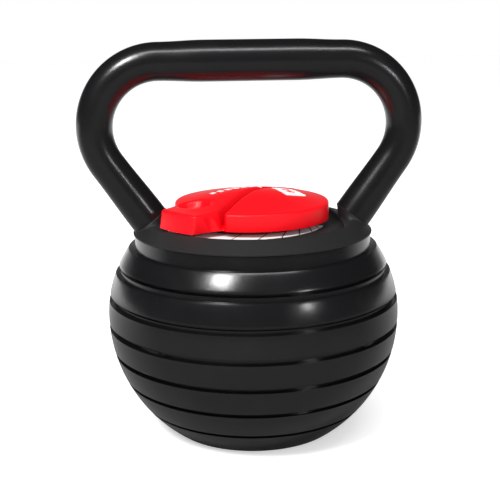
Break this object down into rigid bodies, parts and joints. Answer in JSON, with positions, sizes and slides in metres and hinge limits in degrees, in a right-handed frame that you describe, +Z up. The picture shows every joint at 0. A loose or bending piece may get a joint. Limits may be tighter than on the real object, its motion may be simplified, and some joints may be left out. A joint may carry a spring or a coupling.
{
  "type": "adjustable kettlebell",
  "caption": "Adjustable dial kettlebell: bent-tube handle, head with red selector dial, stack of lift-off iron weight plates on a rubber base pad.",
  "frame": {"origin": "on the floor under the dial's axis", "axes": "+Z up, the handle lies along X, the front of the dial's scale faces -Y"},
  "size_m": [0.2558, 0.22, 0.2925],
  "materials": {
    "cast_iron": "gloss black enamel on cast iron",
    "steel_pin": "ground steel",
    "rubber_pad": "matt rubber",
    "cover": "fine matt texture",
    "scale_white": "printed white",
    "scale_black": "printed black",
    "tube": "gloss black powder coat",
    "plain_steel": "turned steel",
    "black_screw": "black oxide",
    "bronze": "sintered bronze",
    "spring_steel": "spring temper",
    "dial_red": "satin moulded red",
    "badge": "printed label"
  },
  "bodies": {
    "plate_6": {"weight_plate_6": "cast_iron", "locating_pins_6": "steel_pin", "base_pad": "rubber_pad"},
    "plate_5": {"weight_plate_5": "cast_iron", "locating_pins_5": "steel_pin"},
    "plate_4": {"weight_plate_4": "cast_iron", "locating_pins_4": "steel_pin"},
    "plate_3": {"weight_plate_3": "cast_iron", "locating_pins_3": "steel_pin"},
    "plate_2": {"weight_plate_2": "cast_iron", "locating_pins_2": "steel_pin"},
    "plate_1": {"weight_plate_1": "cast_iron", "locating_pins_1": "steel_pin"},
    "head": {"head_weight": "cast_iron", "top_cover": "cover", "scale_band": "scale_white", "scale_lines": "scale_black", "handle": "tube", "handle_feet": "plain_steel", "foot_bolts": "plain_steel", "foot_washers": "plain_steel", "cover_screws": "black_screw", "upper_bush": "bronze", "lower_bush": "bronze", "thrust_washer": "bronze", "detent_leaf": "spring_steel", "leaf_screws": "black_screw"},
    "selector": {"dial_knob": "dial_red", "dial_badge": "badge", "dial_screws": "black_screw", "index_plate": "plain_steel", "selector_shaft": "steel_pin", "retaining_ring": "spring_steel", "top_spacer": "plain_steel", "lock_cam_1": "bronze", "lock_cam_2": "bronze", "lock_cam_3": "bronze", "lock_cam_4": "bronze", "lock_cam_5": "bronze", "lock_cam_6": "bronze", "cam_spacers": "plain_steel", "end_washer": "plain_steel", "end_bolt": "plain_steel"}
  },
  "joints": [
    {"name": "plate_5_lift", "type": "slide", "parent": "plate_6", "child": "plate_5", "axis": [0, 0, 1], "range_m": [0, 0.04]},
    {"name": "plate_4_lift", "type": "slide", "parent": "plate_5", "child": "plate_4", "axis": [0, 0, 1], "range_m": [0, 0.06]},
    {"name": "plate_3_lift", "type": "slide", "parent": "plate_4", "child": "plate_3", "axis": [0, 0, 1], "range_m": [0, 0.08]},
    {"name": "plate_2_lift", "type": "slide", "parent": "plate_3", "child": "plate_2", "axis": [0, 0, 1], "range_m": [0, 0.1]},
    {"name": "plate_1_lift", "type": "slide", "parent": "plate_2", "child": "plate_1", "axis": [0, 0, 1], "range_m": [0, 0.12]},
    {"name": "head_lift", "type": "slide", "parent": "plate_1", "child": "head", "axis": [0, 0, 1], "range_m": [0, 0.14]},
    {"name": "dial_turn", "type": "hinge", "parent": "head", "child": "selector", "pos_m": [0, 0, 0.165], "axis": [0, 0, 1], "range_deg": [0, 90]}
  ]
}
